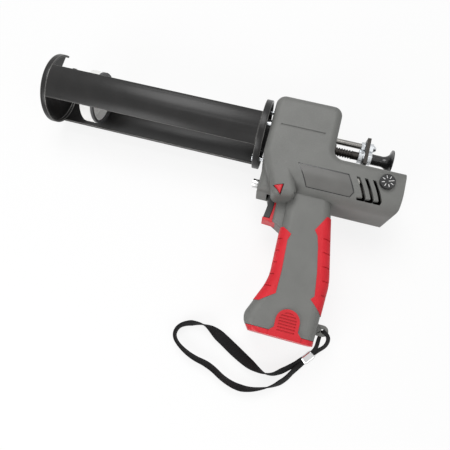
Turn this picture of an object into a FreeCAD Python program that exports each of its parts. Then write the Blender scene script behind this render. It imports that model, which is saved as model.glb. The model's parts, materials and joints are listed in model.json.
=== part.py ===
"""Cordless caulking tool lying on its right side, built as separate pieces.

Frame, in millimetres: X runs rearward along the barrel, Y is the tool's own up and Z is up from
the surface that the tool lies on. The barrel axis is at Y = 0 and Z = barrel_radius.
"""
import math
import os
import re

import FreeCAD
import Part
import Sketcher

SIZES = {
    # barrel
    "barrel_radius": 34.5, "sheet_wall": 2.0, "bay_length": 216, "cap_rim": 5.5, "flange_rim": 6.5,
    "flange_front": -40, "strip_top_angle": 12.8, "strip_low_angle": 43.6, "nozzle_slot": 22,
    "collar_radius": 16, "stud_radius": 2, "stud_inset": 8.5, "stud_head": 3.5, "stud_head_height": 1.6,
    # upper housing and nose
    "body_front": -30, "body_top": 30, "body_back": 33, "tail_top": -21, "tail_back": 99,
    "tail_spare": 16, "tail_bottom": -60.5, "tail_round": 6, "chin_top": -30, "chin_front": -13,
    "chin_bottom": -70, "hip_back": 46, "hip_bottom": -76, "shell_wall": 2.5, "corner_round": 9,
    "side_round": 7, "belly_round": 20, "belly_side": -40, "chin_step": 1, "chin_back": 10,
    "chin_low": -66, "chin_crest": -2, "chin_rise": -36, "chin_round": 6, "chin_sink": 0.05,
    "nose_front": -28, "nose_top": -33, "nose_bottom": -63, "nose_back": 6, "nose_half_width": 18,
    "nose_round": 7,
    # handle, foot and soft pads
    "grip_front": 1.5, "grip_top": -50, "grip_back": 40.6, "swell_x": 55.2, "swell_y": -132, "heel_x": 52,
    "sole_y": -202, "sole_front": 6, "toe_x": -12.6, "toe_y": -178, "waist_x": 3.6, "waist_y": -140,
    "grip_half_width": 20.5, "grip_round": 9, "grip_sweep": 60, "toe_round": 11, "pad_thick": 2,
    "pad_proud": 0.5, "foot_bottom": -184, "rib_wide": 1, "front_rib_step": 11, "back_rib_step": 12.4,
    "rib_depth": 0.9, "rib_reach": 15, "rib_lean": 2.2, "front_rib_x": -9, "front_rib_y": -104,
    "back_rib_x": 41, "back_rib_y": -95.5, "cheek_front": -7, "cheek_back": 8, "cheek_low": -87.5,
    "cheek_half_width": 13, "cheek_round": 3, "cheek_toe": 6, "front_pad_top": -92.5,
    "front_pad_neck": 4.5, "front_pad_tip_x": 12.5, "front_pad_tip_y": -98, "front_pad_side_x": 10.5,
    "front_pad_side_y": -104, "front_pad_waist": 11.8, "front_pad_low_x": 11.3, "front_pad_low_y": -152.6,
    "front_pad_toe": -1.7, "front_pad_end": -162, "back_pad_top": -74, "back_pad_tip_x": 32.2,
    "back_pad_tip_y": -89, "back_pad_side_x": 35.6, "back_pad_side_y": -93.6, "back_pad_neck_x": 38.2,
    "back_pad_neck_y": -104, "back_pad_waist_x": 42.1, "back_pad_waist_y": -126, "back_pad_low_x": 44.4,
    "back_pad_low_y": -147, "back_pad_barb_x": 41.5, "back_pad_barb_y": -150.2, "back_pad_heel_x": 54.1,
    "back_pad_heel_y": -161.8, "back_pad_end": -163,
    # rods
    "rod_radius": 4.25, "rod_root": 3.4, "tooth_pitch": 2.513, "tooth_gap": 9, "tooth_end": 54,
    "rod_thread": 4, "guide_radius": 2.9, "guide_rise": 11, "run_clearance": 0.05, "free_clearance": 0.3,
    "bush_wall": 2.5, "bush_stand": 3,
    # plunger, crossbar and knob
    "plunger_stand": 49, "plunger_length": 14, "plunger_radius": 26, "plunger_wall": 3, "ring_depth": 2.5,
    "bar_front": 64, "bar_thick": 3.5, "bar_low": 9, "bar_high": 18.5, "bar_half_width": 7,
    "nut_height": 4, "nut_radius": 6.4, "washer_radius": 6.6, "washer_thick": 1.2,
    "small_nut_radius": 4.8, "dome_height": 7, "knob_length": 19, "knob_neck": 5.2, "knob_rim": 13,
    # drive
    "pinion_tip": 5.2, "pinion_root": 3.6, "pinion_width": 10, "wheel_tip": 22, "wheel_root": 20.4,
    "wheel_width": 5, "wheel_offset": 8, "wheel_x": 2, "shaft_radius": 2.5, "worm_tip": 5.4,
    "worm_root": 4, "worm_length": 26, "worm_lead": 1.4, "plate_offset": 16, "plate_thick": 2.5,
    "plate_high": 14, "plate_low": 28, "plate_bush_wall": 2, "motor_radius": 11.5, "motor_length": 28,
    "motor_gap": 8, "mount_thick": 3, "motor_shaft_radius": 1.6,
    # trigger, switch, safety button, dial and lamp
    "trigger_front": -16, "trigger_back": 5, "trigger_top": -60, "trigger_low": -89,
    "trigger_half_width": 9, "trigger_pad_thick": 6, "trigger_hollow": 1.6, "trigger_lip": 4,
    "trigger_curve": 40, "trigger_lip_out": 0.6, "trigger_lip_fall": 1.5, "switch_rise": 4,
    "switch_height": 11, "trigger_travel": 6, "switch_gap": 1.5, "switch_length": 20, "safety_x": -13,
    "safety_y": -61.5, "safety_long": 8, "safety_tall": 9, "safety_lean": 1, "safety_stand": 1.2,
    "safety_depth": 14, "dial_x": 82.8, "dial_y": -35, "dial_radius": 6.8, "dial_height": 3.4,
    "dial_stem": 2, "pot_side": 9, "pot_height": 4.5, "lamp_radius": 4.5, "lamp_y": -52, "lamp_length": 6,
    "lamp_lip": 1, "lens_depth": 1, "lens_thick": 0.8,
    # battery
    "case_front": 9.5, "case_back": 41, "case_half_width": 10, "case_spare": 4.2, "case_wall": 1.3,
    "cell_radius": 7.1, "cell_length": 41, "cell_gap": 0.5, "base_thick": 4.5, "arch_front": 16.2,
    "arch_back": 37, "arch_top": -163.6, "arch_round": 10.2, "arch_foot": 3.5, "tab_thick": 1.8,
    "grill_wide": 1.3, "grill_step": 2.6, "grill_depth": 0.9, "grill_inset": 2.8, "contact_height": 3,
    "guide_length": 70, "guide_inset": 6,
    # strap
    "lug_x": 60.2, "lug_y": -172.5, "lug_radius": 5, "lug_hole": 1.8, "lug_half_width": 2.5,
    "strap_thick": 1.8, "strap_width": 8, "ferrule_length": 14.2, "ferrule_wide": 8,
    # label, vents, groove and screws
    "label_depth": 0.8, "label_thick": 0.5, "label_front": 3, "label_back": 49.5, "label_tip": 57.5,
    "label_tip_y": -49.8, "label_heel": 55, "label_toe": 15, "label_top": -35, "label_low": -54.3,
    "vent_x": 56, "vent_top": -35.5, "vent_heel": -52.3, "vent_low": -54.9, "vent_wide": 3.2,
    "vent_lean": 9.4, "vent_foot": 5.2, "vent_step": 7.2, "vent_corner": 1, "vent_depth": 18,
    "groove_wide": 2, "groove_depth": 0.8, "groove_front": -20.5, "groove_back": 21, "groove_y": -2,
    "screw_radius": 1.5, "screw_head": 3, "screw_head_height": 2, "screw_sink": 0.2, "screw_bite": 12,
    "screw_inset": 9, "boss_radius": 3.6,
}

doc = FreeCAD.newDocument("caulking_tool")
sheet = doc.addObject("Spreadsheet::Sheet", "sizes")
for row, (alias, number) in enumerate(SIZES.items(), start=1):
    sheet.set(f"A{row}", alias)
    sheet.set(f"B{row}", str(number))
    sheet.setAlias(f"B{row}", alias)
doc.recompute()

MIDDLE = "barrel_radius"
ALONG_X = FreeCAD.Rotation(FreeCAD.Vector(0, 1, 0), 90)
ALONG_Y = FreeCAD.Rotation(FreeCAD.Vector(1, 0, 0), -90)
ALONG_Z = FreeCAD.Rotation()
nodes = []
pockets = {1: [], -1: []}


def bound(text):
    """An expression in the sheet's aliases."""
    return re.sub(r"[a-z]\w*", lambda word: "sizes." + word.group(), str(text))


def size(text):
    """The number that an expression in the sheet's aliases comes to."""
    return float(sheet.evalExpression(bound(text)))


def bind(item, **expressions):
    for name, text in expressions.items():
        item.setExpression(name, bound(text))


def place(item, x, y, z, rotation=ALONG_Z):
    item.Placement = FreeCAD.Placement(FreeCAD.Vector(size(x), size(y), size(z)), rotation)
    for axis, text in (("x", x), ("y", y), ("z", z)):
        item.setExpression("Placement.Base." + axis, bound(text))
    return item


def node(name, item):
    """Name a finished piece, which is written to a file of that name."""
    item.Label = name
    nodes.append(item)
    return item


def cylinder(radius, length, x, y, z, rotation=ALONG_X):
    item = doc.addObject("Part::Cylinder", "cylinder")
    bind(item, Radius=radius, Height=length)
    return place(item, x, y, z, rotation)


def cone(radius, far_radius, length, x, y, z, rotation=ALONG_X):
    item = doc.addObject("Part::Cone", "cone")
    bind(item, Radius1=radius, Radius2=far_radius, Height=length)
    return place(item, x, y, z, rotation)


def block(x, y, z, length, width, height):
    item = doc.addObject("Part::Box", "block")
    bind(item, Length=length, Width=width, Height=height)
    return place(item, x, y, z)


def hexagon(radius, length, x, y, z):
    item = doc.addObject("Part::Prism", "hexagon")
    item.Polygon = 6
    bind(item, Circumradius=radius, Height=length)
    return place(item, x, y, z, ALONG_X)


def fuse(*parts):
    item = doc.addObject("Part::MultiFuse", "fuse")
    item.Shapes = list(parts)
    return item


def cut(base, *tools):
    item = doc.addObject("Part::Cut", "cut")
    item.Base = base
    item.Tool = tools[0] if len(tools) == 1 else fuse(*tools)
    return item


def common(base, tool):
    item = doc.addObject("Part::Common", "common")
    item.Base = base
    item.Tool = tool
    return item


def group(*parts):
    item = doc.addObject("Part::Compound", "group")
    item.Links = list(parts)
    return item


def sketch_on(body, corners, z):
    """A closed outline of straight lines whose corners are bound to the sheet."""
    plane = next(item for item in body.Origin.OriginFeatures if item.Role == "XY_Plane")
    sketch = body.newObject("Sketcher::SketchObject", "outline")
    sketch.AttachmentSupport = [(plane, "")]
    sketch.MapMode = "FlatFace"
    sketch.setExpression("AttachmentOffset.Base.z", bound(z))
    points = [FreeCAD.Vector(size(x), size(y), 0) for x, y in corners]
    count = len(points)
    for index in range(count):
        sketch.addGeometry(Part.LineSegment(points[index], points[(index + 1) % count]))
    for index in range(count):
        sketch.addConstraint(Sketcher.Constraint("Coincident", index, 2, (index + 1) % count, 1))
    for index, corner in enumerate(corners):
        for kind, text, start in zip(("DistanceX", "DistanceY"), corner, points[index]):
            number = sketch.addConstraint(Sketcher.Constraint(kind, index, 1, start))
            sketch.setExpression(f"Constraints[{number}]", bound(text))
    return sketch


def prism(corners, z, height):
    """A straight-sided body, its outline in plan and its height along Z."""
    body = doc.addObject("PartDesign::Body", "prism")
    sketch = sketch_on(body, corners, z)
    pad = body.newObject("PartDesign::Pad", "pad")
    pad.Profile = sketch
    bind(pad, Length=height)
    doc.recompute()
    return body


def rounded(body, radius, chosen):
    """Round the edges of a body for which chosen(edge) holds."""
    base = body.Tip
    names = [f"Edge{index}" for index, edge in enumerate(base.Shape.Edges, start=1) if chosen(edge)]
    fillet = body.newObject("PartDesign::Fillet", "round")
    fillet.Base = (base, names)
    bind(fillet, Radius=radius)
    doc.recompute()
    return body


def upright(edge):
    box = edge.BoundBox
    return box.XLength < 1e-6 and box.YLength < 1e-6


def level_at(text):
    """A test for edges that lie in the plane Z = text."""
    def chosen(edge):
        box = edge.BoundBox
        return box.ZLength < 1e-6 and abs(box.ZMin - size(text)) < 1e-6
    return chosen


def span(side, near, far):
    """Start and height along Z of a layer between two distances from the middle plane."""
    start = f"{MIDDLE} + ({near})" if side > 0 else f"{MIDDLE} - ({far})"
    return start, f"({far}) - ({near})"


def layer(side, corners, near, far):
    start, height = span(side, near, far)
    return prism(corners, start, height)


def outer_plane(side, far):
    return f"{MIDDLE} + ({far})" if side > 0 else f"{MIDDLE} - ({far})"


UPPER = [
    ("body_front", "body_top"), ("body_back", "body_top"), ("body_back", "tail_top"),
    ("tail_back + tail_spare", "tail_top"), ("tail_back + tail_spare", "hip_bottom"),
    ("chin_front", "chin_bottom"), ("body_front", "chin_top"),
]
UPPER_INSIDE = [
    ("body_front + shell_wall", "body_top - shell_wall"), ("body_back - shell_wall", "body_top - shell_wall"),
    ("body_back - shell_wall", "tail_top - shell_wall"), ("tail_back - shell_wall", "tail_top - shell_wall"),
    ("tail_back - shell_wall", "hip_bottom"), ("chin_front + 1.2 * shell_wall", "chin_bottom"),
    ("body_front + shell_wall", "chin_top"),
]
TAIL_END = [
    ("body_front - tail_spare", "tail_bottom"), ("tail_back", "tail_bottom"),
    ("tail_back", "body_top + tail_spare"), ("body_front - tail_spare", "body_top + tail_spare"),
]
CHIN = [
    ("body_front + chin_step", "chin_top"), ("chin_front + chin_step", "chin_bottom"),
    ("chin_back", "chin_low"), ("chin_crest", "chin_rise"),
]
CHIN_INSIDE = [
    ("body_front + 2 * shell_wall", "chin_rise"), ("chin_front + 2 * shell_wall", "chin_bottom + shell_wall"),
    ("chin_back - 1.2 * shell_wall", "chin_low + shell_wall"), ("chin_crest - 1.2 * shell_wall", "chin_rise"),
]
NOSE = [
    ("nose_front", "nose_top"), ("nose_back", "nose_top"), ("nose_back", "nose_bottom"),
    ("nose_front", "nose_bottom"),
]
NOSE_INSIDE = [
    ("nose_front + shell_wall", "nose_top"), ("nose_back", "nose_top"),
    ("nose_back", "nose_bottom + shell_wall"), ("nose_front + shell_wall", "nose_bottom + shell_wall"),
]
CHEEK = [
    ("cheek_front", "nose_bottom"), ("cheek_back", "nose_bottom"), ("cheek_back", "cheek_low - cheek_toe"),
    ("grip_front + pad_thick", "cheek_low - cheek_toe"), ("cheek_front", "cheek_low"),
]
FRONT_PAD = [
    ("toe_x - pad_thick", "front_pad_top"), ("front_pad_neck", "front_pad_top"),
    ("front_pad_tip_x", "front_pad_tip_y"), ("front_pad_side_x", "front_pad_side_y"),
    ("front_pad_waist", "swell_y"), ("front_pad_low_x", "front_pad_low_y"),
    ("front_pad_toe", "front_pad_end"), ("toe_x - pad_thick", "front_pad_end"),
]
BACK_PAD = [
    ("grip_back", "back_pad_top"), ("swell_x + 4 * pad_thick", "back_pad_top"),
    ("swell_x + 4 * pad_thick", "back_pad_end"), ("swell_x + pad_thick", "back_pad_end"),
    ("back_pad_heel_x", "back_pad_heel_y"), ("back_pad_barb_x", "back_pad_barb_y"),
    ("back_pad_low_x", "back_pad_low_y"), ("back_pad_waist_x", "back_pad_waist_y"),
    ("back_pad_neck_x", "back_pad_neck_y"), ("back_pad_side_x", "back_pad_side_y"),
    ("back_pad_tip_x", "back_pad_tip_y"),
]
LABEL = [
    ("label_front", "label_top"), ("label_back", "label_top"), ("label_tip", "label_tip_y"),
    ("label_heel", "label_low"), ("label_toe", "label_low"),
]
SCREWS = [
    ("body_front + screw_inset", "body_top - screw_inset"),
    ("body_back - screw_inset", "body_top - screw_inset"),
    ("tail_back - screw_inset / 2", "dial_y"), ("hip_back", "belly_side - screw_inset / 2"),
    ("chin_front + screw_inset / 2", "chin_rise - 1.4 * screw_inset"),
]
VENT_COUNT = 3
RIB_COUNT = 5
GRILL_COUNT = 7
CAP_FRONT = "flange_front - bay_length - sheet_wall"
PLUNGER_BACK = "flange_front - bay_length + plunger_stand"
WORM_DROP = "rod_radius + free_clearance + pinion_tip + wheel_tip + free_clearance + worm_tip"
PINION_DROP = "rod_radius + free_clearance + pinion_tip"
BUSH_RADIUS = "rod_radius + run_clearance + bush_wall"
MOTOR_FRONT = "tail_back - shell_wall - motor_gap - motor_length"
GRIP_INNER = "grip_half_width - pad_thick - shell_wall"
CASE_TOP = "foot_bottom - free_clearance + 2 * (cell_length + case_wall) + cell_gap + case_spare"


def along_barrel(radius, start, length, rise="0"):
    """A round bar parallel to the barrel axis."""
    return cylinder(radius, length, start, rise, MIDDLE)


def rod_holes(start, length):
    """Cutters for the toothed rod's bush and for the guide rod."""
    bush = along_barrel(BUSH_RADIUS, start, length)
    guide = along_barrel("guide_radius + run_clearance", start, length, "guide_rise")
    return bush, guide


def cradle():
    """Two side strips of sheet steel between a front cap and a rear flange."""
    reach = "bay_length + sheet_wall - cap_rim"
    start = f"{CAP_FRONT} + cap_rim"
    turns = {"cradle_strip_left": "180 - strip_top_angle", "cradle_strip_right": "0 - strip_low_angle"}
    for name, turn in turns.items():
        wedge = along_barrel("barrel_radius", start, reach)
        bind(wedge, Angle="strip_top_angle + strip_low_angle")
        wedge.Placement.Rotation = ALONG_X * FreeCAD.Rotation(FreeCAD.Vector(0, 0, 1), size(turn))
        bore = along_barrel("barrel_radius - sheet_wall", f"{start} - 1", f"{reach} + 2")
        node(name, cut(wedge, bore))
    disc = along_barrel("barrel_radius", CAP_FRONT, "cap_rim")
    hollow = along_barrel("barrel_radius - sheet_wall", f"{CAP_FRONT} + sheet_wall", "cap_rim")
    seat = along_barrel("nozzle_slot / 2", f"{CAP_FRONT} - 1", "cap_rim + 2")
    slot = block(f"{CAP_FRONT} - 1", "0", f"{MIDDLE} - nozzle_slot / 2",
                 "cap_rim + 2", "barrel_radius + 1", "nozzle_slot")
    node("front_cap", cut(disc, hollow, seat, slot))
    disc = along_barrel("barrel_radius", "flange_front", "flange_rim")
    hollow = along_barrel("barrel_radius - sheet_wall", "flange_front + sheet_wall", "flange_rim")
    studs = stud_bars("stud_radius", "flange_front - 1", "sheet_wall + 2")
    node("rear_flange", cut(disc, hollow, *rod_holes("flange_front - 1", "flange_rim + 2"), *studs))


def stud_bars(radius, start, length):
    """Four bars round the barrel axis, at its top, bottom and sides."""
    near, far = "barrel_radius - stud_inset", "stud_inset - barrel_radius"
    places = [(near, "0"), (far, "0"), ("0", near), ("0", far)]
    return [cylinder(radius, length, start, rise, f"{MIDDLE} + ({across})") for rise, across in places]


def collar():
    """The dark spacer behind the flange, its four studs and the rod's two bushes."""
    start = "flange_front + sheet_wall"
    length = "body_front - flange_front - sheet_wall"
    ring = along_barrel("collar_radius", start, length)
    node("barrel_collar", cut(ring, *rod_holes(f"{start} - 1", f"{length} + 2")))
    shanks = stud_bars("stud_radius", "flange_front", f"{length} + sheet_wall")
    heads = stud_bars("stud_head", "flange_front - stud_head_height", "stud_head_height")
    node("flange_studs", group(*[fuse(head, shank) for head, shank in zip(heads, shanks)]))
    for name, first, last in (
        ("rod_bush_front", "flange_front - bush_stand", "body_front + shell_wall"),
        ("rod_bush_back", "body_back - shell_wall - bush_stand", "body_back + bush_stand"),
    ):
        outside = along_barrel(BUSH_RADIUS, first, f"{last} - ({first})")
        bore = along_barrel("rod_radius + run_clearance", f"{first} - 1", f"{last} - ({first}) + 2")
        node(name, cut(outside, bore))


def turned(edges):
    """A solid turned about the barrel axis from a closed profile."""
    item = doc.addObject("Part::Feature", "turned")
    item.Shape = Part.Face(Part.Wire(edges)).revolve(FreeCAD.Vector(), FreeCAD.Vector(1, 0, 0), 360)
    return place(item, "0", "0", MIDDLE)


def toothed_rod():
    """A round rod with ring teeth, plain at the front and for the nuts at the back."""
    root, tip, pitch = size("rod_root"), size("rod_radius"), size("tooth_pitch")
    front = size(f"{PLUNGER_BACK} - plunger_length + plunger_wall")
    back = size("bar_front + bar_thick + nut_height + knob_length / 2")
    end, thread = size("tooth_end"), size("rod_thread")
    x = size(f"{PLUNGER_BACK} + tooth_gap")
    profile = [(front, 0), (front, thread), (x, thread)]
    while x + pitch <= end:
        profile += [(x, root), (x + 0.3 * pitch, root), (x + 0.45 * pitch, tip), (x + 0.85 * pitch, tip)]
        x += pitch
    profile += [(x, root), (x, thread), (back, thread), (back, 0)]
    points = [FreeCAD.Vector(along, out, 0) for along, out in profile]
    node("toothed_rod", turned(Part.makePolygon(points + points[:1]).Edges))


def plunger():
    """A white cup with a dark ring, held on the rod by a screw."""
    front = f"{PLUNGER_BACK} - plunger_length"
    cup = along_barrel("plunger_radius", front, "plunger_length - ring_depth")
    hollow = along_barrel("plunger_radius - plunger_wall", f"{front} + plunger_wall", "plunger_length")
    screw_hole = along_barrel("screw_radius", f"{front} - 1", "plunger_wall + 2")
    node("plunger_cup", cut(cup, hollow, screw_hole))
    ring_start = f"{PLUNGER_BACK} - ring_depth"
    ring = along_barrel("plunger_radius", ring_start, "ring_depth")
    bore = along_barrel("plunger_radius - plunger_wall", f"{ring_start} - 1", "ring_depth + 2")
    node("plunger_ring", cut(ring, bore))
    head = along_barrel("washer_radius", f"{front} - screw_head_height", "screw_head_height")
    shank = along_barrel("screw_radius", front, "plunger_wall")
    node("plunger_screw", fuse(head, shank))
    first = f"{front} + plunger_wall"
    reach = f"bar_front + bar_thick + nut_height - ({first})"
    node("guide_rod", along_barrel("guide_radius", first, reach, "guide_rise"))


def nut(name, radius, bore, start, rise):
    body = hexagon(radius, "nut_height", start, rise, MIDDLE)
    node(name, cut(body, along_barrel(bore, f"{start} - 1", "nut_height + 2", rise)))


def crossbar():
    """The plate that ties both rods at the back, with its nuts and the pull knob."""
    plate = block("bar_front", "0 - bar_low", f"{MIDDLE} - bar_half_width",
                  "bar_thick", "bar_low + bar_high", "2 * bar_half_width")
    rod_hole = along_barrel("rod_thread", "bar_front - 1", "bar_thick + 2")
    guide_hole = along_barrel("guide_radius", "bar_front - 1", "bar_thick + 2", "guide_rise")
    node("crossbar", cut(plate, rod_hole, guide_hole))
    bar_back = "bar_front + bar_thick"
    nut("rod_nut", "nut_radius", "rod_thread", "bar_front - washer_thick - nut_height", "0")
    washer = along_barrel("washer_radius", "bar_front - washer_thick", "washer_thick")
    washer_hole = along_barrel("rod_thread", "bar_front - washer_thick - 1", "washer_thick + 2")
    node("rod_washer", cut(washer, washer_hole))
    nut("rod_lock_nut", "nut_radius", "rod_thread", bar_back, "0")
    nut("guide_nut", "small_nut_radius", "guide_radius", "bar_front - nut_height", "guide_rise")
    dome = hexagon("small_nut_radius", "nut_height", bar_back, "guide_rise", MIDDLE)
    top = cone("small_nut_radius * 0.85", "small_nut_radius * 0.4", "dome_height - nut_height",
               f"{bar_back} + nut_height", "guide_rise", MIDDLE)
    bore = along_barrel("guide_radius", f"{bar_back} - 1", "nut_height + 1", "guide_rise")
    node("dome_nut", cut(fuse(dome, top), bore))
    knob(f"{bar_back} + nut_height")


def knob(start):
    """The pull knob: a plain neck that flares in one hollow curve to a thin rim."""
    front, length = size(start), size("knob_length")
    neck, rim = size("knob_neck"), size("knob_rim")
    bore, depth = size("rod_thread"), length / 2
    bend = FreeCAD.Vector(front + 0.82 * length, neck + 0.3 * (rim - neck), 0)
    corners = [FreeCAD.Vector(front + along, out, 0) for along, out in (
        (0, bore), (0, neck), (0.45 * length, neck), (0.95 * length, rim), (length, rim), (length, 0),
        (depth, 0), (depth, bore),
    )]
    edges = [Part.makeLine(first, last) for first, last in zip(corners, corners[1:] + corners[:1])]
    edges[2] = Part.Arc(corners[2], bend, corners[3]).toShape()
    node("pull_knob", turned(edges))


def gear_outline(teeth, root, tip):
    """Corners of a wheel with straight-flanked teeth."""
    step = 2 * math.pi / teeth
    corners = []
    for index in range(teeth):
        for share, radius in ((-0.32, root), (-0.14, tip), (0.14, tip), (0.32, root)):
            turn = (index + share) * step
            corners.append(FreeCAD.Vector(radius * math.cos(turn), radius * math.sin(turn), 0))
    return corners


def gear(teeth, root, tip, width, z):
    """A toothed wheel on the cross shaft, bored for it."""
    corners = gear_outline(teeth, size(root), size(tip))
    item = doc.addObject("Part::Feature", "gear")
    item.Shape = Part.Face(Part.makePolygon(corners + corners[:1])).extrude(FreeCAD.Vector(0, 0, size(width)))
    place(item, "wheel_x", f"0 - ({PINION_DROP})", z)
    bore = cross_bar("shaft_radius", f"{z} - 1", f"{width} + 2")
    return cut(item, bore)


def cross_bar(radius, start, length):
    return cylinder(radius, length, "wheel_x", f"0 - ({PINION_DROP})", start, ALONG_Z)


def drive():
    """Cross shaft with pinion and worm wheel between two plates, and the motor with its worm."""
    pinion_start = f"{MIDDLE} - pinion_width / 2"
    node("drive_pinion", gear(12, "pinion_root", "pinion_tip", "pinion_width", pinion_start))
    wheel_start = f"{MIDDLE} + wheel_offset - wheel_width / 2"
    node("worm_wheel", gear(55, "wheel_root", "wheel_tip", "wheel_width", wheel_start))
    reach = "plate_offset + plate_thick"
    node("cross_shaft", cross_bar("shaft_radius", f"{MIDDLE} - ({reach})", f"2 * ({reach})"))
    bush = "shaft_radius + plate_bush_wall"
    front = "body_front + shell_wall"
    for name, start in (("left", f"{MIDDLE} + plate_offset"), ("right", f"{MIDDLE} - ({reach})")):
        plate = block(front, "0 - plate_low", start,
                      f"body_back - shell_wall - ({front})", "plate_low + plate_high", "plate_thick")
        node(f"gear_plate_{name}", cut(plate, cross_bar(bush, f"{start} - 1", "plate_thick + 2")))
        ring = cross_bar(bush, start, "plate_thick")
        bore = cross_bar("shaft_radius + run_clearance", f"{start} - 1", "plate_thick + 2")
        node(f"shaft_bush_{name}", cut(ring, bore))
    motor()


def motor_bar(radius, start, length):
    return cylinder(radius, length, start, f"0 - ({WORM_DROP})", f"{MIDDLE} + wheel_offset")


def motor():
    worm_start = "wheel_x - worm_length / 2"
    core = motor_bar("worm_root", worm_start, "worm_length")
    rings = [motor_bar("worm_tip", f"{worm_start} + worm_lead + {index} * tooth_pitch", "tooth_pitch / 2")
             for index in range(int(size("worm_length / tooth_pitch")))]
    shaft_start = f"{worm_start} + worm_length"
    shaft = motor_bar("motor_shaft_radius", shaft_start, f"{MOTOR_FRONT} - free_clearance - ({shaft_start})")
    node("worm_shaft", fuse(core, shaft, *rings))
    node("drive_motor", motor_bar("motor_radius", MOTOR_FRONT, "motor_length"))
    mount_start = f"{MOTOR_FRONT} - mount_thick"
    plate = block(mount_start, "hip_bottom", f"{MIDDLE} - barrel_radius",
                  "mount_thick", "tail_top - shell_wall - hip_bottom", "2 * barrel_radius")
    hole = motor_bar("motor_shaft_radius + run_clearance", f"{mount_start} - 1", "mount_thick + 2")
    node("motor_mount", cut(common(plate, belly("shell_wall")), hole))


def slot_cutter(side, corners):
    return layer(side, corners, "barrel_radius - vent_depth", "barrel_radius + 1")


def vents(side):
    """Three slanted slots, each with a short foot."""
    cutters = []
    for index in range(VENT_COUNT):
        x = f"vent_x + {index} * vent_step"
        heel = f"{x} + vent_lean"
        cutters.append(slot_cutter(side, [
            (x, "vent_top"), (f"{x} + vent_wide", "vent_top"), (f"{heel} + vent_wide", "vent_heel"),
            (f"{heel} + vent_wide - vent_corner", "vent_low"),
            (f"{heel} - vent_foot + vent_corner", "vent_low"),
            (f"{heel} - vent_foot", "vent_low + 2 * vent_corner"), (heel, "vent_heel"),
        ]))
    return cutters


def rim_of(side, far):
    return level_at(outer_plane(side, far))


def corner_at(*levels):
    """A test for upright edges at the given places along Y."""
    def chosen(edge):
        return upright(edge) and any(abs(edge.BoundBox.YMin - size(text)) < 1e-6 for text in levels)
    return chosen


def belly(inset):
    """Cross-section of the housing, round at its lower corners, along its whole length."""
    half, radius = size(f"barrel_radius - ({inset})"), size(f"belly_round - ({inset})")
    start, length = size("body_front - tail_spare"), size("tail_back + 2 * tail_spare - body_front")
    level, top = size("belly_side"), size("body_top + tail_spare")
    slant = math.sqrt(0.5) * radius
    corners = {side: [FreeCAD.Vector(start, y, side * z) for y, z in (
        (top, half), (level, half), (level - slant, half - radius + slant), (level - radius, half - radius),
    )] for side in (1, -1)}
    edges = []
    for side in (1, -1):
        high, first, middle, last = corners[side]
        edges += [Part.makeLine(high, first), Part.Arc(first, middle, last).toShape()]
    edges += [Part.makeLine(corners[1][end], corners[-1][end]) for end in (0, 3)]
    item = doc.addObject("Part::Feature", "belly")
    outline = Part.Wire(Part.__sortEdges__(edges))
    item.Shape = Part.Face(outline).extrude(FreeCAD.Vector(length, 0, 0))
    return place(item, "0", "0", MIDDLE)


def label_layer(shallow, deep):
    """What lies within the label's outline between two depths under the skin of the left half."""
    skin = cut(belly(shallow), belly(deep))
    return common(layer(1, LABEL, "0", "barrel_radius + 1"), skin)


def handle_outline(inset):
    """Handle and foot in side view, drawn in at front and back by an inset."""
    return [
        (f"grip_front + ({inset})", "grip_top"), (f"grip_back - ({inset})", "grip_top"),
        (f"swell_x - ({inset})", "swell_y"), (f"heel_x - ({inset})", "sole_y"),
        (f"sole_front + ({inset})", "sole_y"), (f"toe_x + ({inset})", "toe_y"),
        (f"waist_x + ({inset})", "waist_y"),
    ]


def handle_form(side, inset):
    """One half of the handle with its foot, rounded all along, drawn in by an inset."""
    half = f"grip_half_width - ({inset})"
    body = layer(side, handle_outline(inset), "0", half)
    rounded(body, "grip_sweep", corner_at("swell_y", "waist_y"))
    rounded(body, "toe_round", corner_at("toe_y"))
    return rounded(body, f"grip_round - ({inset})", rim_of(side, half))


def below(level):
    """Everything under a level of the handle."""
    return block("toe_x - 20", "sole_y - 1", "0 - 1", "swell_x - toe_x + 40", f"({level}) - sole_y + 1",
                 "2 * barrel_radius + 2")


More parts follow.
